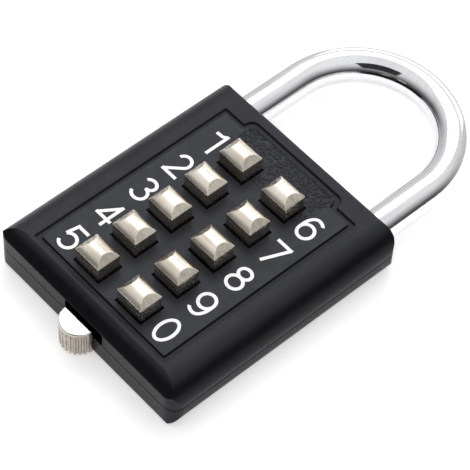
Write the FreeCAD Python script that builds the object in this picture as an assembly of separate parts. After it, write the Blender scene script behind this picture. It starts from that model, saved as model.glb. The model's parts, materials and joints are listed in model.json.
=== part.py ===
"""Ten-button combination padlock, modelled as an assembly of its separate pieces.

The lock lies on its flat back. The origin is the centre of the back face, +Z comes out of
the keypad, +Y points to the shackle and +X is to the right of someone reading the numerals.
All sizes are in millimetres. Every piece is written to parts/<node>.step in place.
"""
import FreeCAD, Part
import math
import os

Vec = FreeCAD.Vector

# Casing
body_width = 41.8
body_length = 46.3
body_thickness = 9.4
seam_height = 4.3
long_edge_radius = 4.3
back_edge_radius = 2.8
end_edge_radius = 0.8
low_corner_radius = 2.2
high_corner_radius = 1.2
chamfer_run = 2.1
chamfer_drop = 2.3
chamfer_blend = 0.5
floor_thickness = 0.9
web_underside = 7.6
cavity_half_width = 10.4
lower_cavity_half_width = 9.9
cavity_low_y = -21.5
cavity_high_y = 20.9
cavity_corner = 1.5
ledge_height = 3.95
rail_height = 3.25
rail_width = 1.5
bore_clearance = 0.1
seam_groove_width = 0.2
seam_groove_depth = 0.16
rim_radius = 0.22

# Keypad plate
plate_half_width = 14.45
plate_low_y = -19.45
plate_high_y = 18.45
plate_thickness = 1.0
bulge_half_width = 10.0
bulge_high_y = 20.3
bulge_corner = 1.5
small_corner = 0.3
moat_width = 0.75
moat_depth = 0.4
plate_gap = 0.05
plate_edge_radius = 0.12
plaque_depth = 0.08
plaque_half_width = 9.7
plaque_low_y = 16.5
plaque_margin = 0.3

# Buttons
button_size_x = 5.5
button_size_y = 4.3
button_height = 2.9
button_crown = 1.1
button_facet_inset = 1.25
button_edge_radius = 0.16
button_pitch = 7.3
column_offset = 4.92
first_row_y = 13.1
plate_button_gap = 0.28
guide_gap = 0.05
flange_margin = 0.4
flange_thickness = 0.6
flange_rest_gap = 0.03
stem_radius = 0.9
neck_radius = 0.5
neck_low = 3.15
neck_high = 5.35
stem_tip = 2.6
button_names = ["1", "2", "3", "4", "5", "6", "7", "8", "9", "0"]
rows = 5

# Plates inside
guide_low = 4.0
guide_thickness = 0.5
guide_high_y = 15.0
guide_low_y = -18.7
guide_hole_gap = 0.1
lock_plate_low = 3.3
lock_plate_thickness = 0.5
lock_plate_left = -9.5
lock_plate_right = 8.1
lock_plate_high_y = 15.2
lock_plate_low_y = -18.6
lock_travel = 1.7
keyhole_gap = 0.1
nose_tip_x = 11.7
nose_low_y = 15.9
nose_high_y = 20.1
nose_root_x = 7.5
nose_top = 5.3
nose_channel_gap = 0.35
part_corner = 0.5

# Button springs
spring_wire = 0.11
spring_coil_radius = 1.22
spring_turns = 3.5
spring_seat_gap = 0.02

# Release knob
knob_radius = 3.2
knob_low = 0.6
knob_high = 5.9
knob_rest_x = -0.75
knob_gap = 0.15
knob_cap = 0.55
knob_edge_radius = 0.3
flute_radius = 0.27
flute_count = 11
stem_half_width = 2.6
stem_gap = 0.05
stem_high = 5.6
foot_low = 2.9
foot_inner_y = -20.6
slot_high = 7.0
slot_side_gap = 0.37
shutter_overlap = 0.25
shutter_thickness = 0.4
shutter_gap = 0.05
tongue_half_width = 2.0
tongue_gap = 0.02
tongue_bite = 0.6

# Slide return spring
slide_spring_y = -19.85
slide_spring_z = 2.9
slide_spring_coil = 0.95
slide_spring_wire = 0.14
slide_spring_left = 4.6
slide_spring_right = 9.3
slide_spring_turns = 8.0
slide_tab_thickness = 0.7
slide_tab_low = 1.8
slide_tab_high = 4.1
slide_tab_clearance = 0.02
slide_tab_gap = 0.2
spring_stop_thickness = 1.0
spring_stop_reach = 1.15

# Shackle
shackle_radius = 3.1
shackle_half_gauge = 15.1
shackle_straight = 12.0
shackle_lift = 12.0
toe_depth = 9.0
heel_end_y = -12.0
heel_neck_radius = 2.05
toe_notch_depth = 1.75
toe_notch_gap = 0.3
tip_bevel = 0.6
retaining_pin_radius = 1.0
retaining_pin_y = 5.0
retaining_pin_low = 0.9
retaining_pin_high = 8.2
pin_fit = 0.02
heel_spigot_radius = 1.4
heel_spigot_length = 1.5
heel_bore_end_y = -17.9
shackle_spring_wire = 0.3
shackle_spring_coil = 2.3
shackle_spring_turns = 7.0

# Case screws
screw_head_radius = 1.5
screw_head_height = 0.9
screw_shank_radius = 0.9
screw_top = 7.2
screw_hole_gap = 0.05
screw_recess = 0.1
hex_key_radius = 0.7
hex_key_depth = 0.55
post_radius = 2.4
lower_screw_x = 15.3
lower_screw_y = -19.2
upper_screw_x = 4.8
upper_screw_y = 18.4

# Numerals
numeral_high = 2.22
numeral_wide = 1.38
numeral_stroke = 0.56
numeral_x = 11.17
ink_thickness = 0.06

# Allowances used while cutting and joining
cut_margin = 1.0
join_depth = 0.5
match_tolerance = 1e-6
level_tolerance = 0.001

half_width = body_width / 2
half_length = body_length / 2
flange_high = web_underside - flange_rest_gap
flange_low = flange_high - flange_thickness
guide_high = guide_low + guide_thickness
lock_plate_high = lock_plate_low + lock_plate_thickness
bore_radius = shackle_radius + bore_clearance
toe_end_y = half_length - toe_depth
bow_centre_y = half_length + shackle_straight


def in_plan(u, v):
    """Places a flat outline point in the XY plane."""
    return Vec(u, v, 0)


def in_cross_section(u, v):
    """Places a flat outline point in the XZ plane."""
    return Vec(u, 0, v)


def in_side_section(u, v):
    """Places a flat outline point in the YZ plane."""
    return Vec(0, u, v)


def rounded_face(corners, place=in_plan):
    """Makes a face from corners given as (u, v, radius), with a tangent arc at each corner."""
    count = len(corners)
    segments = []
    for index in range(count):
        before = corners[index - 1]
        here = corners[index]
        after = corners[(index + 1) % count]
        to_before = Vec(before[0] - here[0], before[1] - here[1], 0).normalize()
        to_after = Vec(after[0] - here[0], after[1] - here[1], 0).normalize()
        centre = Vec(here[0], here[1], 0)
        if here[2] <= 0:
            segments.append((centre, None, centre))
            continue
        half_angle = to_before.getAngle(to_after) / 2
        reach = here[2] / math.tan(half_angle)
        bisector = (to_before + to_after).normalize()
        middle = centre + bisector * (here[2] / math.sin(half_angle) - here[2])
        segments.append((centre + to_before * reach, middle, centre + to_after * reach))
    edges = []
    for index in range(count):
        start, middle, end = segments[index]
        if middle is not None:
            arc = Part.Arc(place(start.x, start.y), place(middle.x, middle.y), place(end.x, end.y))
            edges.append(arc.toShape())
        following = segments[(index + 1) % count][0]
        if end.distanceToPoint(following) > match_tolerance:
            edges.append(Part.makeLine(place(end.x, end.y), place(following.x, following.y)))
    return Part.Face(Part.Wire(edges))


def level_edges(shape, height):
    """Finds the edges that lie flat at one height."""
    return [edge for edge in shape.Edges if abs(edge.BoundBox.ZMin - height) < level_tolerance
            and abs(edge.BoundBox.ZMax - height) < level_tolerance]


def box(low_x, high_x, low_y, high_y, low_z, high_z):
    """Makes a plain block between the given limits."""
    return Part.makeBox(high_x - low_x, high_y - low_y, high_z - low_z, Vec(low_x, low_y, low_z))


def rounded_block(low_x, high_x, low_y, high_y, low_z, high_z, radius):
    """Makes a block whose upright edges are rounded."""
    corners = [(low_x, low_y, radius), (high_x, low_y, radius)]
    corners += [(high_x, high_y, radius), (low_x, high_y, radius)]
    face = rounded_face(corners)
    face.translate(Vec(0, 0, low_z))
    return face.extrude(Vec(0, 0, high_z - low_z))


def raised(face, low_z, high_z):
    """Extrudes a flat outline between two heights."""
    solid = face.extrude(Vec(0, 0, high_z - low_z))
    solid.translate(Vec(0, 0, low_z))
    return solid


def rod(x, y, low_z, high_z, radius):
    """Makes an upright round rod."""
    return Part.makeCylinder(radius, high_z - low_z, Vec(x, y, low_z))


def rod_along_y(x, low_y, high_y, z, radius):
    """Makes a round rod that runs along the shackle direction."""
    return Part.makeCylinder(radius, high_y - low_y, Vec(x, low_y, z), Vec(0, 1, 0))


def coil_spring(length, coil_radius, wire_radius, turns):
    """Makes an upright compression spring standing on the origin, with its wire inside length."""
    rise = length - 2 * wire_radius
    helix = Part.makeLongHelix(rise / turns, rise, coil_radius)
    circle = Part.makeCircle(wire_radius, Vec(coil_radius, 0, 0), Vec(0, 1, 0))
    spring = Part.Wire(helix.Edges).makePipeShell([Part.Wire(circle)], True, True)
    spring.translate(Vec(0, 0, wire_radius))
    return spring


def button_position(name):
    """Gives the keypad centre of a button."""
    index = button_names.index(name)
    column_x = -column_offset if index < rows else column_offset
    return column_x, first_row_y - (index % rows) * button_pitch


def casing_outline(inset):
    """Makes the casing's plan outline, with rounder corners at the knob end."""
    wide = half_width - inset
    long = half_length - inset
    low_radius = low_corner_radius - inset
    high_radius = high_corner_radius - inset
    corners = [(-wide, -long, low_radius), (wide, -long, low_radius)]
    corners += [(wide, long, high_radius), (-wide, long, high_radius)]
    return rounded_face(corners)


def casing_blank():
    """Makes the outside of the casing as one solid, before it is split and hollowed."""
    cross = [(-half_width, 0, back_edge_radius), (half_width, 0, back_edge_radius)]
    cross += [(half_width, body_thickness, long_edge_radius)]
    cross += [(-half_width, body_thickness, long_edge_radius)]
    along = rounded_face(cross, in_cross_section)
    along.translate(Vec(0, -half_length, 0))
    blank = along.extrude(Vec(0, body_length, 0))
    side = [(-half_length, 0, end_edge_radius), (half_length, 0, end_edge_radius)]
    side += [(half_length, body_thickness, end_edge_radius)]
    side += [(-half_length + chamfer_run, body_thickness, chamfer_blend)]
    side += [(-half_length, body_thickness - chamfer_drop, chamfer_blend)]
    across = rounded_face(side, in_side_section)
    across.translate(Vec(-half_width, 0, 0))
    blank = blank.common(across.extrude(Vec(body_width, 0, 0)))
    return blank.common(raised(casing_outline(0), 0, body_thickness))


def seam_groove():
    """Makes the shallow groove that shows where the two casing halves meet."""
    low = seam_height - seam_groove_width / 2
    high = seam_height + seam_groove_width / 2
    outside = raised(casing_outline(-cut_margin), low, high)
    return outside.cut(raised(casing_outline(seam_groove_depth), low, high))


def plate_outline(growth):
    """Makes the keypad outline with its raised bulge at the shackle end, grown on all sides."""
    wide = plate_half_width + growth
    low = plate_low_y - growth
    shoulder = plate_high_y + growth
    bulge = bulge_half_width + growth
    high = bulge_high_y + growth
    corners = [(-wide, low, small_corner), (wide, low, small_corner)]
    corners += [(wide, shoulder, small_corner), (bulge, shoulder, small_corner)]
    corners += [(bulge, high, bulge_corner), (-bulge, high, bulge_corner)]
    corners += [(-bulge, shoulder, small_corner), (-wide, shoulder, small_corner)]
    return rounded_face(corners)


def button_openings(gap, low_z, high_z):
    """Makes the ten rectangular openings the buttons pass through."""
    openings = []
    for name in button_names:
        x, y = button_position(name)
        reach_x = button_size_x / 2 + gap
        reach_y = button_size_y / 2 + gap
        openings.append(box(x - reach_x, x + reach_x, y - reach_y, y + reach_y, low_z, high_z))
    return Part.makeCompound(openings)


def screw_positions():
    """Gives the four screw centres, two in the solid lower corners and two on inner posts."""
    places = []
    for side in (-1, 1):
        places.append((side * lower_screw_x, lower_screw_y))
        places.append((side * upper_screw_x, upper_screw_y))
    return places


def knob_slot():
    """Makes the notch above the seam, in the bottom end, that the knob stem slides in."""
    centre = knob_rest_x + lock_travel / 2
    reach = knob_radius + lock_travel / 2 + slot_side_gap
    corners = [(centre - reach, seam_height, 0), (centre + reach, seam_height, 0)]
    corners += [(centre + reach, slot_high, part_corner), (centre - reach, slot_high, part_corner)]
    face = rounded_face(corners, in_cross_section)
    face.translate(Vec(0, -half_length - cut_margin, 0))
    return face.extrude(Vec(0, cavity_low_y + half_length + 2 * cut_margin, 0))


def casing_hollows():
    """Makes everything both casing halves leave open: cavity, bores, slot and fastener holes."""
    upper = rounded_block(-cavity_half_width, cavity_half_width, cavity_low_y, cavity_high_y,
                          ledge_height, web_underside, cavity_corner)
    lower = rounded_block(-lower_cavity_half_width, lower_cavity_half_width, cavity_low_y,
                          cavity_high_y, floor_thickness, ledge_height, cavity_corner)
    hollows = [upper, lower, knob_slot()]
    hollows.append(rod_along_y(shackle_half_gauge, toe_end_y - part_corner,
                               half_length + cut_margin, seam_height, bore_radius))
    hollows.append(rod_along_y(-shackle_half_gauge, heel_bore_end_y, half_length + cut_margin,
                               seam_height, bore_radius))
    hollows.append(box(lower_cavity_half_width - cut_margin, shackle_half_gauge,
                       nose_low_y - nose_channel_gap, nose_high_y + nose_channel_gap,
                       lock_plate_low - nose_channel_gap / 2, nose_top + nose_channel_gap))
    hollows.append(rod(retaining_pin_x(), retaining_pin_y, retaining_pin_low, retaining_pin_high,
                       retaining_pin_radius + pin_fit))
    return hollows


def retaining_pin_x():
    """Gives the pin centre, just clear of the neck turned in the heel leg."""
    return -shackle_half_gauge + heel_neck_radius + retaining_pin_radius + screw_hole_gap


def inner_posts():
    """Makes the two screw posts that stand in the shackle end of the cavity."""
    posts = []
    for x, y in screw_positions():
        if y > 0:
            posts.append(rod(x, y, floor_thickness - join_depth, web_underside + join_depth,
                             post_radius))
    return posts


def slide_rails():
    """Makes the low rails on the floor that carry the locking plate between button rows."""
    rails = []
    for row in (1, rows - 1):
        y = first_row_y - row * button_pitch + button_pitch / 2
        rails.append(box(-lower_cavity_half_width, lower_cavity_half_width, y - rail_width / 2,
                         y + rail_width / 2, floor_thickness - join_depth, rail_height))
    return rails


def spring_stop():
    """Makes the floor block the slide spring pushes against."""
    return box(slide_spring_right, slide_spring_right + spring_stop_thickness,
               slide_spring_y - spring_stop_reach, slide_spring_y + spring_stop_reach,
               floor_thickness - join_depth, slide_tab_high)


def screw_holes():
    """Makes the stepped holes for the case screws, from the back up into the front half."""
    holes = []
    for x, y in screw_positions():
        holes.append(rod(x, y, 0, screw_top, screw_shank_radius + screw_hole_gap))
        holes.append(rod(x, y, -cut_margin, screw_head_height + screw_recess,
                         screw_head_radius + screw_hole_gap))
    return holes


def casing_halves():
    """Makes the front and rear halves of the casing."""
    blank = casing_blank()
    hollow = blank.cut(casing_hollows())
    solid_parts = inner_posts() + slide_rails() + [spring_stop()]
    whole = hollow.fuse([blank.common(part) for part in solid_parts])
    whole = whole.cut(screw_holes())
    pocket = raised(plate_outline(moat_width), body_thickness - moat_depth,
                    body_thickness + cut_margin)
    seat = raised(plate_outline(plate_gap), body_thickness - plate_thickness, body_thickness)
    openings = button_openings(guide_gap, web_underside - cut_margin, body_thickness)
    whole = whole.cut([pocket, seat, openings])
    above = box(-half_width, half_width, -half_length, half_length, seam_height, body_thickness)
    front = whole.common(above).cut(seam_groove()).removeSplitter()
    rear = whole.cut(above).cut(seam_groove()).removeSplitter()
    rim_x = plate_half_width + moat_width + match_tolerance
    rim = [edge for edge in level_edges(front, body_thickness) if edge.BoundBox.XMax < rim_x
           and edge.BoundBox.XMin > -rim_x]
    return front.makeFillet(rim_radius, rim), rear


def face_plate():
    """Makes the keypad plate with its button openings and the sunken textured area."""
    low_z = body_thickness - plate_thickness
    plate = raised(plate_outline(0), low_z, body_thickness)
    plate = plate.makeFillet(plate_edge_radius, level_edges(plate, body_thickness))
    plate = plate.cut(button_openings(plate_button_gap, low_z - cut_margin,
                                      body_thickness + cut_margin))
    high = bulge_high_y - plaque_margin
    corners = [(-plaque_half_width, plaque_low_y, bulge_corner)]
    corners += [(plaque_half_width, plaque_low_y, bulge_corner)]
    corners += [(plaque_half_width, high, bulge_corner), (-plaque_half_width, high, bulge_corner)]
    sunken = raised(rounded_face(corners), body_thickness - plaque_depth,
                    body_thickness + cut_margin)
    return plate.cut(sunken)


def button(name):
    """Makes one button: domed cap, guided block, retaining flange and necked stem."""
    x, y = button_position(name)
    half_x = button_size_x / 2
    half_y = button_size_y / 2
    shoulder = body_thickness + button_height
    top = shoulder + button_crown
    start = Vec(0, -half_y, shoulder)
    end = Vec(0, half_y, shoulder)
    dome = Part.Arc(start, Vec(0, 0, top), end).toShape()
    sides = [Part.makeLine(end, Vec(0, half_y, flange_high))]
    sides += [Part.makeLine(Vec(0, half_y, flange_high), Vec(0, -half_y, flange_high))]
    sides += [Part.makeLine(Vec(0, -half_y, flange_high), start)]
    section = Part.Face(Part.Wire([dome] + sides))
    section.translate(Vec(-half_x, 0, 0))
    cap = section.extrude(Vec(button_size_x, 0, 0))
    facets = [(-half_x, flange_high, 0), (half_x, flange_high, 0), (half_x, shoulder, 0)]
    facets += [(half_x - button_facet_inset, top, 0), (button_facet_inset - half_x, top, 0)]
    facets += [(-half_x, shoulder, 0)]
    trim = rounded_face(facets, in_cross_section)
    trim.translate(Vec(0, -half_y, 0))
    cap = cap.common(trim.extrude(Vec(0, button_size_y, 0)))
    foot = level_edges(cap, flange_high)
    visible = [edge for edge in cap.Edges if not any(edge.isSame(other) for other in foot)]
    cap = cap.makeFillet(button_edge_radius, visible)
    reach_x = half_x + flange_margin
    reach_y = half_y + flange_margin
    flange = rounded_block(-reach_x, reach_x, -reach_y, reach_y, flange_low, flange_high,
                           small_corner)
    stem = rod(0, 0, stem_tip, flange_low, stem_radius)
    groove = rod(0, 0, neck_low, neck_high, stem_radius + cut_margin)
    groove = groove.cut(rod(0, 0, neck_low, neck_high, neck_radius))
    piece = cap.fuse([flange, stem.cut(groove)]).removeSplitter()
    piece.translate(Vec(x, y, 0))
    return piece


def button_spring(name):
    """Makes the return spring that stands on the guide plate under one button."""
    x, y = button_position(name)
    length = flange_low - guide_high - 2 * spring_seat_gap
    spring = coil_spring(length, spring_coil_radius, spring_wire, spring_turns)
    spring.translate(Vec(x, y, guide_high + spring_seat_gap))
    return spring


def guide_plate():
    """Makes the fixed plate that carries the button springs."""
    reach = cavity_half_width - guide_hole_gap
    plate = rounded_block(-reach, reach, guide_low_y, guide_high_y, guide_low, guide_high,
                          part_corner)
    holes = []
    for name in button_names:
        x, y = button_position(name)
        holes.append(rod(x, y, guide_low - cut_margin, guide_high + cut_margin,
                         stem_radius + guide_hole_gap))
    return plate.cut(holes)


def locking_plate():
    """Makes the sliding plate: ten keyholes, the nose that locks the toe leg and its tabs."""
    low = lock_plate_low
    high = lock_plate_high
    plate = rounded_block(lock_plate_left, lock_plate_right, lock_plate_low_y, lock_plate_high_y,
                          low, high, part_corner)
    arm = box(nose_root_x, lock_plate_right, lock_plate_high_y - join_depth,
              nose_low_y + join_depth, low, high)
    nose = rounded_block(nose_root_x, nose_tip_x, nose_low_y, nose_high_y, low, nose_top,
                         small_corner)
    tongue = box(knob_rest_x - tongue_half_width, knob_rest_x + tongue_half_width,
                 foot_inner_y - tongue_bite, lock_plate_low_y + join_depth, low, high)
    tab_left = slide_spring_left - slide_tab_thickness
    tab_right = slide_spring_left - slide_tab_clearance
    tab = box(tab_left, tab_right, slide_spring_y - slide_spring_coil,
              lock_plate_low_y - slide_tab_gap, slide_tab_low, slide_tab_high)
    tab_root = box(tab_left, tab_right, lock_plate_low_y - join_depth,
                   lock_plate_low_y + join_depth, low, high)
    whole = plate.fuse([arm, nose, tongue, tab, tab_root])
    holes = []
    for name in button_names:
        x, y = button_position(name)
        slot = neck_radius + keyhole_gap
        below = low - cut_margin
        above = high + cut_margin
        holes.append(rod(x, y, below, above, stem_radius + keyhole_gap))
        holes.append(box(x - lock_travel, x, y - slot, y + slot, below, above))
        holes.append(rod(x - lock_travel, y, below, above, slot))
    return whole.cut(holes).removeSplitter()


def release_knob():
    """Makes the fluted half-round knob with its stem, the shutter behind the slot and a foot."""
    flat_y = -half_length - knob_gap
    disc = rod(knob_rest_x, flat_y, knob_low, knob_high, knob_radius)
    outside = box(knob_rest_x - knob_radius, knob_rest_x + knob_radius,
                  flat_y - knob_radius, flat_y, knob_low, knob_high)
    grip = disc.common(outside)
    grip = grip.makeFillet(knob_edge_radius, level_edges(grip, knob_high))
    flutes = []
    for index in range(flute_count):
        angle = math.pi * (index + 1) / (flute_count + 1)
        flutes.append(rod(knob_rest_x - knob_radius * math.cos(angle),
                          flat_y - knob_radius * math.sin(angle),
                          knob_low - cut_margin, knob_high - knob_cap, flute_radius))
    grip = grip.cut(flutes)
    stem_left = knob_rest_x - stem_half_width
    stem_right = knob_rest_x + stem_half_width
    inner_face_y = cavity_low_y + shutter_gap
    stem = box(stem_left, stem_right, flat_y, foot_inner_y, seam_height + stem_gap, stem_high)
    foot = box(stem_left, stem_right, inner_face_y, foot_inner_y, foot_low, stem_high)
    shutter_reach = knob_radius + lock_travel + slot_side_gap + shutter_overlap
    shutter = box(knob_rest_x - shutter_reach, knob_rest_x + shutter_reach, inner_face_y,
                  inner_face_y + shutter_thickness, seam_height - shutter_overlap,
                  slot_high + shutter_overlap)
    groove = box(knob_rest_x - tongue_half_width - tongue_gap,
                 knob_rest_x + tongue_half_width + tongue_gap,
                 foot_inner_y - tongue_bite - tongue_gap, foot_inner_y + cut_margin,
                 lock_plate_low - tongue_gap, lock_plate_high + tongue_gap)
    return grip.fuse([stem, foot, shutter]).cut(groove).removeSplitter()


def slide_spring():
    """Makes the spring that pushes the locking plate back to the left."""
    length = slide_spring_right - slide_spring_left - 2 * slide_tab_clearance
    spring = coil_spring(length, slide_spring_coil, slide_spring_wire, slide_spring_turns)
    spring.rotate(Vec(0, 0, 0), Vec(0, 1, 0), 90)
    spring.translate(Vec(slide_spring_left + slide_tab_clearance, slide_spring_y, slide_spring_z))
    return spring


def shackle():
    """Makes the round-bar shackle: a long necked heel leg, a bow and a notched toe leg."""
    section = Part.makeCircle(shackle_radius, Vec(shackle_half_gauge, bow_centre_y, seam_height),
                              Vec(0, 1, 0))
    axis_point = Vec(0, bow_centre_y, seam_height)
    bow = Part.Face(Part.Wire(section)).revolve(axis_point, Vec(0, 0, 1), 180)
    inside = shackle_half_gauge - shackle_radius
    under_bar = seam_height - shackle_radius - cut_margin
    over_bar = seam_height + shackle_radius + cut_margin
    toe = rod_along_y(shackle_half_gauge, toe_end_y, bow_centre_y, seam_height, shackle_radius)
    toe_rim = [edge for edge in toe.Edges
               if abs(edge.CenterOfMass.y - toe_end_y) < match_tolerance]
    toe = toe.makeChamfer(tip_bevel, toe_rim)
    notch = box(inside - cut_margin, inside + toe_notch_depth, nose_low_y - toe_notch_gap,
                nose_high_y + toe_notch_gap, under_bar, over_bar)
    toe = toe.cut(notch)
    heel = rod_along_y(-shackle_half_gauge, heel_end_y, bow_centre_y, seam_height, shackle_radius)
    neck_top = retaining_pin_y + retaining_pin_radius + part_corner
    neck_bottom = neck_top - shackle_lift - 2 * retaining_pin_radius - 2 * part_corner
    ring = rod_along_y(-shackle_half_gauge, neck_bottom, neck_top, seam_height,
                       shackle_radius + cut_margin)
    ring = ring.cut(rod_along_y(-shackle_half_gauge, neck_bottom, neck_top, seam_height,
                                heel_neck_radius))
    heel = heel.cut(ring)
    spigot = rod_along_y(-shackle_half_gauge, heel_end_y - heel_spigot_length, heel_end_y,
                         seam_height, heel_spigot_radius)
    return bow.fuse([toe, heel, spigot]).removeSplitter()


def shackle_spring():
    """Makes the spring under the heel leg that lifts the shackle when the lock opens."""
    low = heel_bore_end_y + spring_seat_gap
    high = heel_end_y - spring_seat_gap
    spring = coil_spring(high - low, shackle_spring_coil, shackle_spring_wire,
                         shackle_spring_turns)
    spring.rotate(Vec(0, 0, 0), Vec(1, 0, 0), -90)
    spring.translate(Vec(-shackle_half_gauge, low, seam_height))
    return spring


def retaining_pin():
    """Makes the fixed pin that keeps the heel leg in the casing."""
    return rod(retaining_pin_x(), retaining_pin_y, retaining_pin_low + pin_fit,
               retaining_pin_high - pin_fit, retaining_pin_radius)


def case_screws():
    """Makes the four socket screws that close the casing from the back."""
    screws = []
    for x, y in screw_positions():
        head_top = screw_head_height + screw_recess
        head = rod(x, y, screw_recess, head_top, screw_head_radius)
        shank = rod(x, y, head_top, screw_top - screw_recess, screw_shank_radius)
        corners = []
        for corner in range(6):
            angle = math.radians(60 * corner)
            corners.append((x + hex_key_radius * math.cos(angle),
                            y + hex_key_radius * math.sin(angle), 0))
        socket = raised(rounded_face(corners), screw_recess - cut_margin,
                        screw_recess + hex_key_depth)
        screws.append(head.fuse(shank).removeSplitter().cut(socket))
    return Part.makeCompound(screws)


def oval(x, y, reach_x, reach_y):
    """Makes an oval curve and gives the angle, from +X, that the curve is measured from."""
    centre = Vec(x, y, 0)
    if abs(reach_x - reach_y) < match_tolerance:
        return Part.Circle(centre, Vec(0, 0, 1), reach_x), 0
    if reach_x > reach_y:
        return Part.Ellipse(Vec(x + reach_x, y, 0), Vec(x, y + reach_y, 0), centre), 0
    return Part.Ellipse(Vec(x, y + reach_y, 0), Vec(x - reach_x, y, 0), centre), 90


def ring_stroke(x, y, radius_x, radius_y):
    """Makes a closed oval numeral stroke."""
    half = numeral_stroke / 2
    faces = []
    for growth in (half, -half):
        curve = oval(x, y, radius_x + growth, radius_y + growth)[0]
        faces.append(Part.Face(Part.Wire(curve.toShape())))
    return faces[0].cut(faces[1])


def arc_stroke(x, y, radius_x, radius_y, start_angle, end_angle):
    """Makes a curved numeral stroke, drawn anticlockwise between two angles in degrees."""
    half = numeral_stroke / 2
    edges = []
    ends = []
    for growth in (-half, half):
        curve, measured_from = oval(x, y, radius_x + growth, radius_y + growth)
        start = math.radians(start_angle - measured_from)
        end = math.radians(end_angle - measured_from)
        edges.append(curve.toShape(start, end))
        ends.append((curve.value(start), curve.value(end)))
    first_cap = Part.makeLine(ends[0][0], ends[1][0])
    last_cap = Part.makeLine(ends[0][1], ends[1][1])
    return Part.Face(Part.Wire([edges[0], last_cap, edges[1], first_cap]))


def line_stroke(start, end):
    """Makes a straight numeral stroke with square ends."""
    along = Vec(end[0] - start[0], end[1] - start[1], 0)
    strip = Part.makePlane(along.Length, numeral_stroke, Vec(0, -numeral_stroke / 2, 0))
    strip.rotate(Vec(0, 0, 0), Vec(0, 0, 1), math.degrees(math.atan2(along.y, along.x)))
    strip.translate(Vec(start[0], start[1], 0))
    return strip


def numeral_zero():
    """Draws a plain upright oval."""
    return [ring_stroke(0, 0, numeral_wide, numeral_high)]


def numeral_one():
    """Draws a stem right of centre with a flag that rises into its top."""
    stem_x = 0.8
    flag_start = (-1.2, 1.68)
    flag_bend = (0.1, 1.76)
    flag_lift = 0.12
    edge = numeral_high + numeral_stroke / 2
    return [line_stroke((stem_x, -edge), (stem_x, edge)),
            line_stroke(flag_start, flag_bend),
            line_stroke((flag_bend[0] - flag_lift, flag_bend[1] - flag_lift / 2),
                        (stem_x, numeral_high))]


def numeral_two():
    """Draws a hook, a diagonal and a foot."""
    hook_radius = 1.24
    hook_y = numeral_high - hook_radius
    hook_start = -42
    hook_end = 168
    tail_x = hook_radius * math.cos(math.radians(hook_start))
    tail_y = hook_y + hook_radius * math.sin(math.radians(hook_start))
    foot_reach = 1.62
    return [arc_stroke(0, hook_y, hook_radius, hook_radius, hook_start, hook_end),
            line_stroke((tail_x, tail_y), (-numeral_wide, -numeral_high)),
            line_stroke((-foot_reach, -numeral_high), (foot_reach, -numeral_high))]


def numeral_three():
    """Draws two open bowls, the lower one larger."""
    upper_x = 1.16
    upper_y = 0.98
    lower_y = numeral_high - upper_y
    opening = 158
    return [arc_stroke(0, numeral_high - upper_y, upper_x, upper_y, -90, opening),
            arc_stroke(0, lower_y - numeral_high, numeral_wide, lower_y, -opening, 90)]


def numeral_four():
    """Draws a stem, a diagonal and a crossbar that runs past the stem."""
    stem_x = 0.82
    bar_y = -1.02
    bar_reach = 1.68
    edge = numeral_high + numeral_stroke / 2
    return [line_stroke((stem_x, -edge), (stem_x, edge)),
            line_stroke((stem_x, numeral_high), (-numeral_wide, bar_y)),
            line_stroke((-bar_reach, bar_y), (bar_reach, bar_y))]


def numeral_five():
    """Draws a top bar, a short leaning stem and a bowl."""
    bar_left = -1.1
    bar_right = 1.4
    stem_foot = (-1.28, 0.0)
    bowl = 1.42
    opening = 148
    edge = numeral_high + numeral_stroke / 2
    return [line_stroke((bar_left, numeral_high), (bar_right, numeral_high)),
            line_stroke((bar_left + numeral_stroke / 2, edge), stem_foot),
            arc_stroke(0, bowl - numeral_high, bowl, bowl, -opening, opening)]


def numeral_six():
    """Draws a bowl with a tall curved back and a short open top."""
    bowl_y = 1.42
    hook_y = 0.95
    hook_start = 28
    return [ring_stroke(0, bowl_y - numeral_high, numeral_wide, bowl_y),
            arc_stroke(0, 0, numeral_wide, numeral_high, 90, 180),
            line_stroke((-numeral_wide, 0), (-numeral_wide, bowl_y - numeral_high)),
            arc_stroke(0, numeral_high - hook_y, numeral_wide, hook_y, hook_start, 90)]


def numeral_seven():
    """Draws a top bar and a diagonal."""
    bar_reach = 1.62
    diagonal_top = 1.36
    diagonal_foot = -0.62
    edge = numeral_high + numeral_stroke / 2
    return [line_stroke((-bar_reach, numeral_high), (bar_reach, numeral_high)),
            line_stroke((diagonal_top, numeral_high), (diagonal_foot, -edge))]


def numeral_eight():
    """Draws two rings, the lower one larger."""
    upper_x = 1.16
    upper_y = 0.98
    lower_y = numeral_high - upper_y
    return [ring_stroke(0, numeral_high - upper_y, upper_x, upper_y),
            ring_stroke(0, lower_y - numeral_high, numeral_wide, lower_y)]


def numeral_nine():
    """Draws a six turned upside down."""
    strokes = numeral_six()
    for stroke in strokes:
        stroke.rotate(Vec(0, 0, 0), Vec(0, 0, 1), 180)
    return strokes


def numerals():
    """Makes the ten printed numerals, standing just proud of the keypad plate."""
    drawings = [numeral_one(), numeral_two(), numeral_three(), numeral_four(), numeral_five()]
    drawings += [numeral_six(), numeral_seven(), numeral_eight(), numeral_nine(), numeral_zero()]
    prints = []
    for name, drawing in zip(button_names, drawings):
        x, y = button_position(name)
        strokes = [raised(face, 0, ink_thickness) for face in drawing]
        numeral = strokes[0]
        if len(strokes) > 1:
            numeral = numeral.fuse(strokes[1:]).removeSplitter()
        numeral.translate(Vec(math.copysign(numeral_x, x), y, body_thickness))
        prints.append(numeral)
    return Part.makeCompound(prints)


def save(node, shape):
    """Writes one piece to its STEP file."""
    shape.exportStep(os.path.join("parts", node + ".step"))


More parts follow.
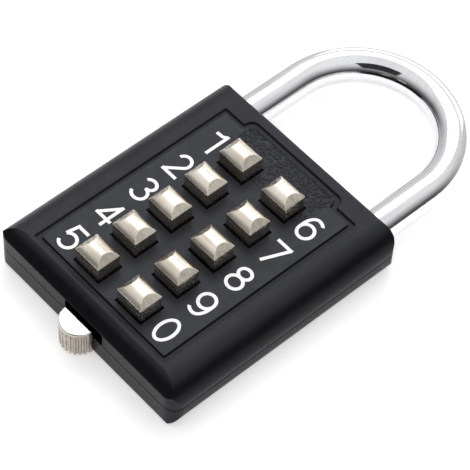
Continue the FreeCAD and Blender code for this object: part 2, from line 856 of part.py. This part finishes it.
def main():
    """Builds and writes every piece."""
    os.makedirs("parts", exist_ok=True)
    front, rear = casing_halves()
    save("front_casing", front)
    save("rear_casing", rear)
    save("face_plate", face_plate())
    save("numerals", numerals())
    for name in button_names:
        save("button_" + name, button(name))
        save("button_spring_" + name, button_spring(name))
    save("guide_plate", guide_plate())
    save("locking_plate", locking_plate())
    save("release_knob", release_knob())
    save("slide_spring", slide_spring())
    save("shackle", shackle())
    save("shackle_spring", shackle_spring())
    save("retaining_pin", retaining_pin())
    save("case_screws", case_screws())


main()
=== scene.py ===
import json
import math

import bmesh
import bpy
from mathutils import Euler, Matrix, Vector


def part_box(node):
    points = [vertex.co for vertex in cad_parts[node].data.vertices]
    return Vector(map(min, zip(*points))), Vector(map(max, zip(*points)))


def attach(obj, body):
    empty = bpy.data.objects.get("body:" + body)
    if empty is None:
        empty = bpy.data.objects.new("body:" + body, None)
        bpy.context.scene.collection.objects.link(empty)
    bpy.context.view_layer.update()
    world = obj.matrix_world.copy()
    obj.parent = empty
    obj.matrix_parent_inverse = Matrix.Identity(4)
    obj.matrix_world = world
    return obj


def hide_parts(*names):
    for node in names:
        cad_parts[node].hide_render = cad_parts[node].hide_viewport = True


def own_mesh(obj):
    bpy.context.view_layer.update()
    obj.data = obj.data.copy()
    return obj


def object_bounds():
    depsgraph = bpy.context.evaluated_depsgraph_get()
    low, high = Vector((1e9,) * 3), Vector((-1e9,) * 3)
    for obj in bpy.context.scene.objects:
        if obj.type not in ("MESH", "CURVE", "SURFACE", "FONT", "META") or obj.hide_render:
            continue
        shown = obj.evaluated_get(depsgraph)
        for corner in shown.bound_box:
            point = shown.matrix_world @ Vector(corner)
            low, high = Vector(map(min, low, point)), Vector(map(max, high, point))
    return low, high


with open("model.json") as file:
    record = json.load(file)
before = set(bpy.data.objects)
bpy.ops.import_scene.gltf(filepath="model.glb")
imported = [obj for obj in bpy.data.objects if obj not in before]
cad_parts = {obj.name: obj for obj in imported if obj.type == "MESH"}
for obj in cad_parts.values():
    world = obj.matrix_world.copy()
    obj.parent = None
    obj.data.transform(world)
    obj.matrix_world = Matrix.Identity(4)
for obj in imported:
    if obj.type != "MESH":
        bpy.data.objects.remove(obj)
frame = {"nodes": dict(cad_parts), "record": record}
cad_low, cad_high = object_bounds()

MM = 0.001
BUTTON_NAMES = [str(number) for number in range(1, 10)] + ["0"]


# ---------------------------------------------------------------- material helpers

def blank_material(name):
    """A material with a Principled shader and object coordinates, ready for its own nodes."""
    material = bpy.data.materials.new(name)
    material.use_nodes = True
    tree = material.node_tree
    tree.nodes.clear()
    output = tree.nodes.new("ShaderNodeOutputMaterial")
    shader = tree.nodes.new("ShaderNodeBsdfPrincipled")
    tree.links.new(shader.outputs["BSDF"], output.inputs["Surface"])
    place = tree.nodes.new("ShaderNodeTexCoord")
    return material, tree, shader, place.outputs["Object"]


def separate(tree, vector):
    """Splits a vector into its X, Y and Z values."""
    node = tree.nodes.new("ShaderNodeSeparateXYZ")
    tree.links.new(vector, node.inputs["Vector"])
    return node.outputs


def noise(tree, place, scale, detail=3.0, roughness=0.55, stretch=None):
    """Fractal noise; a stretch value below 1 lengthens the grain along that axis."""
    source = place
    if stretch:
        mapping = tree.nodes.new("ShaderNodeMapping")
        mapping.inputs["Scale"].default_value = stretch
        tree.links.new(place, mapping.inputs["Vector"])
        source = mapping.outputs["Vector"]
    node = tree.nodes.new("ShaderNodeTexNoise")
    node.inputs["Scale"].default_value = scale
    node.inputs["Detail"].default_value = detail
    node.inputs["Roughness"].default_value = roughness
    tree.links.new(source, node.inputs["Vector"])
    return node.outputs["Fac"]


def ramp(tree, value, low, high, low_result, high_result):
    """Maps a value between two limits onto a result range, with eased ends."""
    node = tree.nodes.new("ShaderNodeMapRange")
    node.interpolation_type = "SMOOTHSTEP"
    node.inputs["From Min"].default_value = low
    node.inputs["From Max"].default_value = high
    node.inputs["To Min"].default_value = low_result
    node.inputs["To Max"].default_value = high_result
    tree.links.new(value, node.inputs["Value"])
    return node.outputs["Result"]


def arithmetic(tree, operation, first, second):
    """Combines two values, each a socket or a plain number."""
    node = tree.nodes.new("ShaderNodeMath")
    node.operation = operation
    for socket, value in zip(node.inputs, (first, second)):
        if isinstance(value, (int, float)):
            socket.default_value = value
        else:
            tree.links.new(value, socket)
    return node.outputs["Value"]


def blend_colours(tree, value, first, second):
    """Mixes two colours by a value; each colour is a socket or a plain (red, green, blue)."""
    node = tree.nodes.new("ShaderNodeMix")
    node.data_type = "RGBA"
    for socket, colour in ((node.inputs["A"], first), (node.inputs["B"], second)):
        if isinstance(colour, tuple):
            socket.default_value = (*colour, 1)
        else:
            tree.links.new(colour, socket)
    tree.links.new(value, node.inputs["Factor"])
    return node.outputs["Result"]


def patchy_colour(tree, field, low, high, first, second):
    """Turns from one colour to another as a noise field rises from low to high."""
    return blend_colours(tree, ramp(tree, field, low, high, 0, 1), first, second)


def vary_roughness(tree, shader, field, smoothest, roughest):
    """Lets a noise field move the roughness between two values."""
    rough = ramp(tree, field, 0.3, 0.7, smoothest, roughest)
    tree.links.new(rough, shader.inputs["Roughness"])


def bump(tree, height, depth, strength=1.0, under=None):
    """Turns a height into a surface normal; depth is in metres."""
    node = tree.nodes.new("ShaderNodeBump")
    node.inputs["Strength"].default_value = strength
    node.inputs["Distance"].default_value = depth
    tree.links.new(height, node.inputs["Height"])
    if under is not None:
        tree.links.new(under, node.inputs["Normal"])
    return node.outputs["Normal"]


# ---------------------------------------------------------------- materials

def casing_material():
    """Satin black coating with a faint orange peel; the top face is painted paler as painted light
    and the sides darker as painted shade.
    """
    side_z = 0.0082
    top_z = 0.0094
    material, tree, shader, place = blank_material("casing_black")
    broad = noise(tree, place, 90, 3)
    peel = noise(tree, place, 1500, 2)
    speck = noise(tree, place, 5200, 2)
    # Painted shade: the sides get a much darker copy of the coating colour than the top face.
    side = patchy_colour(tree, broad, 0.35, 0.65,
                         (0.0035, 0.0035, 0.0046), (0.0050, 0.0050, 0.0064))
    top = patchy_colour(tree, broad, 0.35, 0.65,
                        (0.0265, 0.0268, 0.0325), (0.0325, 0.0328, 0.0390))
    # Mask for the painted light, rising from the sides to the paler top face.
    lit_top_mask = ramp(tree, separate(tree, place)["Z"], side_z, top_z, 0, 1)
    tree.links.new(blend_colours(tree, lit_top_mask, side, top), shader.inputs["Base Color"])
    vary_roughness(tree, shader, peel, 0.30, 0.38)
    normal = bump(tree, peel, 0.000012, 0.6)
    tree.links.new(bump(tree, speck, 0.000006, 0.5, normal), shader.inputs["Normal"])
    shader.inputs["Specular IOR Level"].default_value = 0.14
    shader.inputs["Specular Tint"].default_value = (0.90, 0.93, 1.0, 1)
    return material


def leather_region(tree, place):
    """1 at the raised end of the plate, falling to 0 beside it and among the upper buttons."""
    no_leather_y = 0.0098
    full_leather_y = 0.0172
    full_leather_x = 0.0090
    no_leather_x = 0.0101
    coordinates = separate(tree, place)
    across = arithmetic(tree, "ABSOLUTE", coordinates["X"], 0.0)
    upper = ramp(tree, coordinates["Y"], no_leather_y, full_leather_y, 0, 1)
    inside = ramp(tree, across, full_leather_x, no_leather_x, 1, 0)
    return arithmetic(tree, "MULTIPLY", upper, inside)


def leather_cells(tree, place):
    """Height of soft rounded cells, shifted by noise so that they aren't regular."""
    largest_shift = 0.00035
    shift = tree.nodes.new("ShaderNodeTexNoise")
    shift.inputs["Scale"].default_value = 900
    tree.links.new(place, shift.inputs["Vector"])
    shifted_place = tree.nodes.new("ShaderNodeMix")
    shifted_place.data_type = "VECTOR"
    shifted_place.inputs["Factor"].default_value = largest_shift
    tree.links.new(place, shifted_place.inputs["A"])
    tree.links.new(shift.outputs["Color"], shifted_place.inputs["B"])
    cells = tree.nodes.new("ShaderNodeTexVoronoi")
    cells.feature = "SMOOTH_F1"
    cells.inputs["Scale"].default_value = 1650
    cells.inputs["Smoothness"].default_value = 0.55
    tree.links.new(shifted_place.outputs["Result"], cells.inputs["Vector"])
    return ramp(tree, cells.outputs["Distance"], 0.15, 0.75, 1, 0)


def plate_material():
    """Fine-grained black coating, with a leather grain pressed into the raised end of the plate."""
    material, tree, shader, place = blank_material("plate_black")
    leather = arithmetic(tree, "MULTIPLY", leather_cells(tree, place),
                         leather_region(tree, place))
    wear = noise(tree, place, 700, 2)
    fine = noise(tree, place, 4200, 3)
    broad = noise(tree, place, 140, 3)
    colour = patchy_colour(tree, broad, 0.35, 0.65,
                           (0.0180, 0.0182, 0.0225), (0.0235, 0.0238, 0.0290))
    tree.links.new(colour, shader.inputs["Base Color"])
    vary_roughness(tree, shader, wear, 0.38, 0.46)
    normal = bump(tree, fine, 0.000018, 0.7)
    tree.links.new(bump(tree, leather, 0.00021, 1.0, normal), shader.inputs["Normal"])
    shader.inputs["Specular IOR Level"].default_value = 0.30
    shader.inputs["Specular Tint"].default_value = (0.88, 0.92, 1.0, 1)
    return material


def numeral_material():
    """White printed paint, slightly uneven in thickness, with a faint painted glow."""
    material, tree, shader, place = blank_material("numeral_white")
    film = noise(tree, place, 2600, 3)
    colour = patchy_colour(tree, film, 0.3, 0.7, (0.90, 0.90, 0.91), (0.96, 0.96, 0.965))
    tree.links.new(colour, shader.inputs["Base Color"])
    vary_roughness(tree, shader, film, 0.42, 0.52)
    tree.links.new(bump(tree, film, 0.00001, 0.5), shader.inputs["Normal"])
    # Painted glow: the numerals emit their own colour so they read brighter than their lighting
    # makes them.
    tree.links.new(colour, shader.inputs["Emission Color"])
    shader.inputs["Emission Strength"].default_value = 0.22
    return material


def metal_material(name, light, dark, smoothest, roughest, grain_stretch, grain_scale,
                   grain_depth, mottle_scale=160):
    """Metal with a directional grain: the grain sets the roughness and a fine bump."""
    material, tree, shader, place = blank_material(name)
    grain = noise(tree, place, grain_scale, 4, 0.6, grain_stretch)
    mottle = noise(tree, place, mottle_scale, 3)
    mixed = arithmetic(tree, "MULTIPLY", arithmetic(tree, "ADD", grain, mottle), 0.5)
    colour = patchy_colour(tree, mixed, 0.38, 0.62, dark, light)
    tree.links.new(colour, shader.inputs["Base Color"])
    vary_roughness(tree, shader, grain, smoothest, roughest)
    tree.links.new(bump(tree, grain, grain_depth, 0.6), shader.inputs["Normal"])
    shader.inputs["Metallic"].default_value = 1.0
    return material


def knob_material():
    """Cast silver alloy: flat face painted bright as painted light, fluted side painted duller and
    warmer as painted shade, near-black inside the slot.
    """
    side_z = 0.00560
    face_z = 0.00585
    grip_y = -0.02329
    slot_y = -0.02322
    material, tree, shader, place = blank_material("knob_silver")
    coordinates = separate(tree, place)
    grain = noise(tree, place, 2400, 4, 0.6, (1, 1, 0.05))
    stain = noise(tree, place, 500, 3)
    # Painted shade: the fluted side is a darker, warmer copy of the metal colour, mottled at random
    # by the stain noise.
    side = patchy_colour(tree, stain, 0.35, 0.65, (0.38, 0.34, 0.30), (0.56, 0.52, 0.475))
    lit_face_mask = ramp(tree, coordinates["Z"], side_z, face_z, 0, 1)
    # Painted highlight: the flat face gets a near-white copy of the metal colour.
    grip = blend_colours(tree, lit_face_mask, side, (0.93, 0.92, 0.90))
    in_slot = ramp(tree, coordinates["Y"], grip_y, slot_y, 0, 1)
    colour = blend_colours(tree, in_slot, grip, (0.02, 0.02, 0.02))
    tree.links.new(colour, shader.inputs["Base Color"])
    vary_roughness(tree, shader, grain, 0.18, 0.28)
    tree.links.new(bump(tree, grain, 0.000003, 0.6), shader.inputs["Normal"])
    shader.inputs["Metallic"].default_value = 1.0
    return material


def screw_material():
    """Black oxide on steel, with paler worn patches."""
    material, tree, shader, place = blank_material("screw_black")
    wear = noise(tree, place, 1800, 4)
    colour = patchy_colour(tree, wear, 0.45, 0.75, (0.02, 0.02, 0.022), (0.07, 0.07, 0.075))
    tree.links.new(colour, shader.inputs["Base Color"])
    vary_roughness(tree, shader, wear, 0.35, 0.5)
    tree.links.new(bump(tree, wear, 0.00001, 0.5), shader.inputs["Normal"])
    shader.inputs["Metallic"].default_value = 0.7
    return material


materials = {
    "casing_black": casing_material(),
    "plate_black": plate_material(),
    "numeral_white": numeral_material(),
    "button_nickel": metal_material(
        "button_nickel", light=(0.90, 0.83, 0.73), dark=(0.64, 0.58, 0.49),
        smoothest=0.20, roughest=0.32, grain_stretch=(0.05, 1, 1), grain_scale=1700,
        grain_depth=0.0000015),
    "knob_silver": knob_material(),
    "shackle_chrome": metal_material(
        "shackle_chrome", light=(0.86, 0.865, 0.88), dark=(0.76, 0.765, 0.785),
        smoothest=0.05, roughest=0.10, grain_stretch=(1, 0.10, 1), grain_scale=2200,
        grain_depth=0.000002, mottle_scale=60),
    "inner_steel": metal_material(
        "inner_steel", light=(0.52, 0.52, 0.53), dark=(0.36, 0.36, 0.375),
        smoothest=0.28, roughest=0.45, grain_stretch=(0.1, 1, 1), grain_scale=2800,
        grain_depth=0.000010),
    "spring_steel": metal_material(
        "spring_steel", light=(0.50, 0.50, 0.52), dark=(0.33, 0.33, 0.35),
        smoothest=0.22, roughest=0.36, grain_stretch=(1, 1, 1), grain_scale=5200,
        grain_depth=0.000006),
    "screw_black": screw_material(),
}

slots = {entry["node"]: entry["material_slot"] for entry in frame["record"]["subparts"]}
for node_name, node in frame["nodes"].items():
    node.data.materials.clear()
    node.data.materials.append(materials[slots[node_name]])
    for polygon in node.data.polygons:
        polygon.material_index = 0


# ---------------------------------------------------------------- springs

def coil_points(length, coil_radius, wire_radius, active_turns):
    """Centreline of a compression spring along +Z, with a closed coil at each end."""
    steps_per_turn = 28
    closed_turns = 1.0
    turns = active_turns + 2 * closed_turns
    closed_rise = 2.1 * wire_radius
    active_rise = length - 2 * wire_radius - 2 * closed_rise
    points = []
    for step in range(int(turns * steps_per_turn) + 1):
        turn = step / steps_per_turn
        if turn < closed_turns:
            height = closed_rise * turn / closed_turns
        elif turn > turns - closed_turns:
            last_part = closed_rise * (turn - turns + closed_turns) / closed_turns
            height = closed_rise + active_rise + last_part
        else:
            height = closed_rise + active_rise * ((turn - closed_turns) / active_turns)
        angle = 2 * math.pi * turn
        points.append(Vector((coil_radius * math.cos(angle), coil_radius * math.sin(angle),
                              wire_radius + height)))
    return points


def swept_wire(name, points, wire_radius, material):
    """A round wire with flat cut ends, along points that wind about the Z axis."""
    sides = 10
    mesh = bmesh.new()
    rings = []
    for index, point in enumerate(points):
        before = points[max(index - 1, 0)]
        after = points[min(index + 1, len(points) - 1)]
        tangent = (after - before).normalized()
        outward = Vector((point.x, point.y, 0)).normalized()
        outward = (outward - tangent * outward.dot(tangent)).normalized()
        sideways = tangent.cross(outward)
        ring = []
        for side in range(sides):
            angle = 2 * math.pi * side / sides
            offset = outward * math.cos(angle) + sideways * math.sin(angle)
            ring.append(mesh.verts.new(point + offset * wire_radius))
        rings.append(ring)
    for first, second in zip(rings, rings[1:]):
        for side in range(sides):
            following = (side + 1) % sides
            mesh.faces.new((first[side], first[following], second[following], second[side]))
    mesh.faces.new(list(reversed(rings[0])))
    mesh.faces.new(rings[-1])
    bmesh.ops.recalc_face_normals(mesh, faces=mesh.faces)
    data = bpy.data.meshes.new(name)
    mesh.to_mesh(data)
    mesh.free()
    for polygon in data.polygons:
        polygon.use_smooth = True
    data.materials.append(material)
    piece = bpy.data.objects.new(name, data)
    bpy.context.scene.collection.objects.link(piece)
    return piece


def replace_spring(node_name, axis, wire_radius, active_turns):
    """Puts a wound spring in the space of a CAD spring that lies along axis 0, 1 or 2."""
    turn_to_axis = {0: Euler((0, math.pi / 2, 0)), 1: Euler((-math.pi / 2, 0, 0)),
                    2: Euler((0, 0, 0))}
    low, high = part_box(node_name)
    size = high - low
    across = min(size[index] for index in range(3) if index != axis)
    points = coil_points(size[axis], across / 2 - wire_radius, wire_radius, active_turns)
    piece = swept_wire("wound_" + node_name, points, wire_radius, materials["spring_steel"])
    base = (low + high) / 2
    base[axis] = low[axis]
    piece.data.transform(Matrix.Translation(base) @ turn_to_axis[axis].to_matrix().to_4x4())
    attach(piece, "case")
    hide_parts(node_name)
    return piece, low, high


# Each button is pressed by 1.4 mm; its spring is wound at its full resting length, with a mesh of
# its own.
for button_name in BUTTON_NAMES:
    spring, spring_low, spring_high = replace_spring("button_spring_" + button_name, axis=2,
                                                     wire_radius=0.11 * MM, active_turns=2.5)
    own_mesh(spring)

# The slide travels 1.7 mm towards the far end of its spring; the spring is wound at its full
# length, with a mesh of its own.
spring, spring_low, spring_high = replace_spring("slide_spring", axis=0,
                                                 wire_radius=0.14 * MM, active_turns=6.0)
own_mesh(spring)

replace_spring("shackle_spring", axis=1, wire_radius=0.3 * MM, active_turns=5.0)


# ---------------------------------------------------------------- studio

def floor_material():
    """Matt white light table with a very faint tooth."""
    material, tree, shader, place = blank_material("studio_floor")
    tooth = noise(tree, place, 60, 4)
    colour = patchy_colour(tree, tooth, 0.3, 0.7, (0.90, 0.90, 0.90), (0.915, 0.915, 0.915))
    tree.links.new(colour, shader.inputs["Base Color"])
    tree.links.new(colour, shader.inputs["Emission Color"])
    shader.inputs["Emission Strength"].default_value = 0.56
    shader.inputs["Roughness"].default_value = 0.9
    shader.inputs["Specular IOR Level"].default_value = 0.1
    return material


def dark_cloth_material():
    """Black felt with a woven unevenness."""
    material, tree, shader, place = blank_material("dark_cloth")
    weave = noise(tree, place, 400, 3)
    colour = patchy_colour(tree, weave, 0.3, 0.7,
                           (0.010, 0.010, 0.012), (0.020, 0.020, 0.022))
    tree.links.new(colour, shader.inputs["Base Color"])
    shader.inputs["Roughness"].default_value = 0.95
    return material


def flat_sheet(name, half_size, segments, material):
    """A flat square grid in the XY plane, in metres."""
    mesh = bmesh.new()
    bmesh.ops.create_grid(mesh, x_segments=segments, y_segments=segments, size=half_size)
    data = bpy.data.meshes.new(name)
    mesh.to_mesh(data)
    mesh.free()
    data.materials.append(material)
    sheet = bpy.data.objects.new(name, data)
    bpy.context.scene.collection.objects.link(sheet)
    return sheet


def direction_from_lock(azimuth, elevation):
    """Direction at two angles in degrees; azimuth runs from -Y towards +X."""
    turn = math.radians(azimuth)
    rise = math.radians(elevation)
    return Vector((math.sin(turn) * math.cos(rise), -math.cos(turn) * math.cos(rise),
                   math.sin(rise)))


def add_floor():
    """A wide pale floor just under the lock."""
    gap = 0.05 * MM
    floor = flat_sheet("studio_floor", 1.5, 4, floor_material())
    floor.location.z = cad_low.z - gap


def dark_screen(azimuth, elevation, distance, width, height):
    """A black cloth screen that faces the lock, as seen in the bright shackle."""
    screen = flat_sheet("dark_screen", 0.5, 6, dark_cloth_material())
    direction = direction_from_lock(azimuth, elevation)
    screen.location = (cad_low + cad_high) / 2 + direction * distance
    screen.rotation_euler = direction.to_track_quat("Z", "Y").to_euler()
    screen.scale = (width, height, 1)


def area_light(name, azimuth, elevation, distance, width, height, power):
    """A softbox that faces the lock from a direction."""
    data = bpy.data.lights.new(name, "AREA")
    data.shape = "RECTANGLE"
    data.size = width
    data.size_y = height
    data.energy = power
    light = bpy.data.objects.new(name, data)
    direction = direction_from_lock(azimuth, elevation)
    light.location = (cad_low + cad_high) / 2 + direction * distance
    light.rotation_euler = (-direction).to_track_quat("-Z", "Y").to_euler()
    bpy.context.scene.collection.objects.link(light)


def add_world():
    """A soft studio surround, bright overhead and dark near the horizon, less so behind."""
    front_level = 0.08
    behind_level = 0.66
    overhead_level = 0.92
    world = bpy.data.worlds.new("studio")
    bpy.context.scene.world = world
    world.use_nodes = True
    tree = world.node_tree
    tree.nodes.clear()
    output = tree.nodes.new("ShaderNodeOutputWorld")
    background = tree.nodes.new("ShaderNodeBackground")
    place = tree.nodes.new("ShaderNodeTexCoord")
    direction = separate(tree, place.outputs["Generated"])
    behind = arithmetic(tree, "ADD", arithmetic(tree, "MULTIPLY", direction["X"], -0.5),
                        arithmetic(tree, "MULTIPLY", direction["Y"], 0.86))
    low_level = ramp(tree, behind, -0.1, 0.8, front_level, behind_level)
    height = ramp(tree, direction["Z"], 0.16, 0.90, 0, 1)
    missing = arithmetic(tree, "SUBTRACT", overhead_level, low_level)
    rise = arithmetic(tree, "MULTIPLY", height, missing)
    tree.links.new(arithmetic(tree, "ADD", rise, low_level), background.inputs["Strength"])
    background.inputs["Color"].default_value = (1, 1, 1, 1)
    tree.links.new(background.outputs["Background"], output.inputs["Surface"])


def add_camera():
    """A long lens, placed by fitting the photo."""
    data = bpy.data.cameras.new("camera")
    data.lens = 176.17
    data.sensor_width = 36.0
    data.clip_start = 0.01
    data.clip_end = 10.0
    camera = bpy.data.objects.new("camera", data)
    camera.location = (0.153208, -0.144554, 0.29638)
    camera.rotation_euler = (0.630091, -0.040418, 0.842601)
    bpy.context.scene.collection.objects.link(camera)
    bpy.context.scene.camera = camera


add_floor()
add_world()
area_light("back_key", azimuth=222, elevation=54, distance=0.9, width=0.85, height=0.42,
           power=2.0)
area_light("back_soft", azimuth=205, elevation=20, distance=1.0, width=0.9, height=0.35,
           power=0.8)
dark_screen(azimuth=27, elevation=46, distance=0.6, width=0.46, height=0.36)
add_camera()
bpy.context.scene.view_settings.view_transform = "Standard"
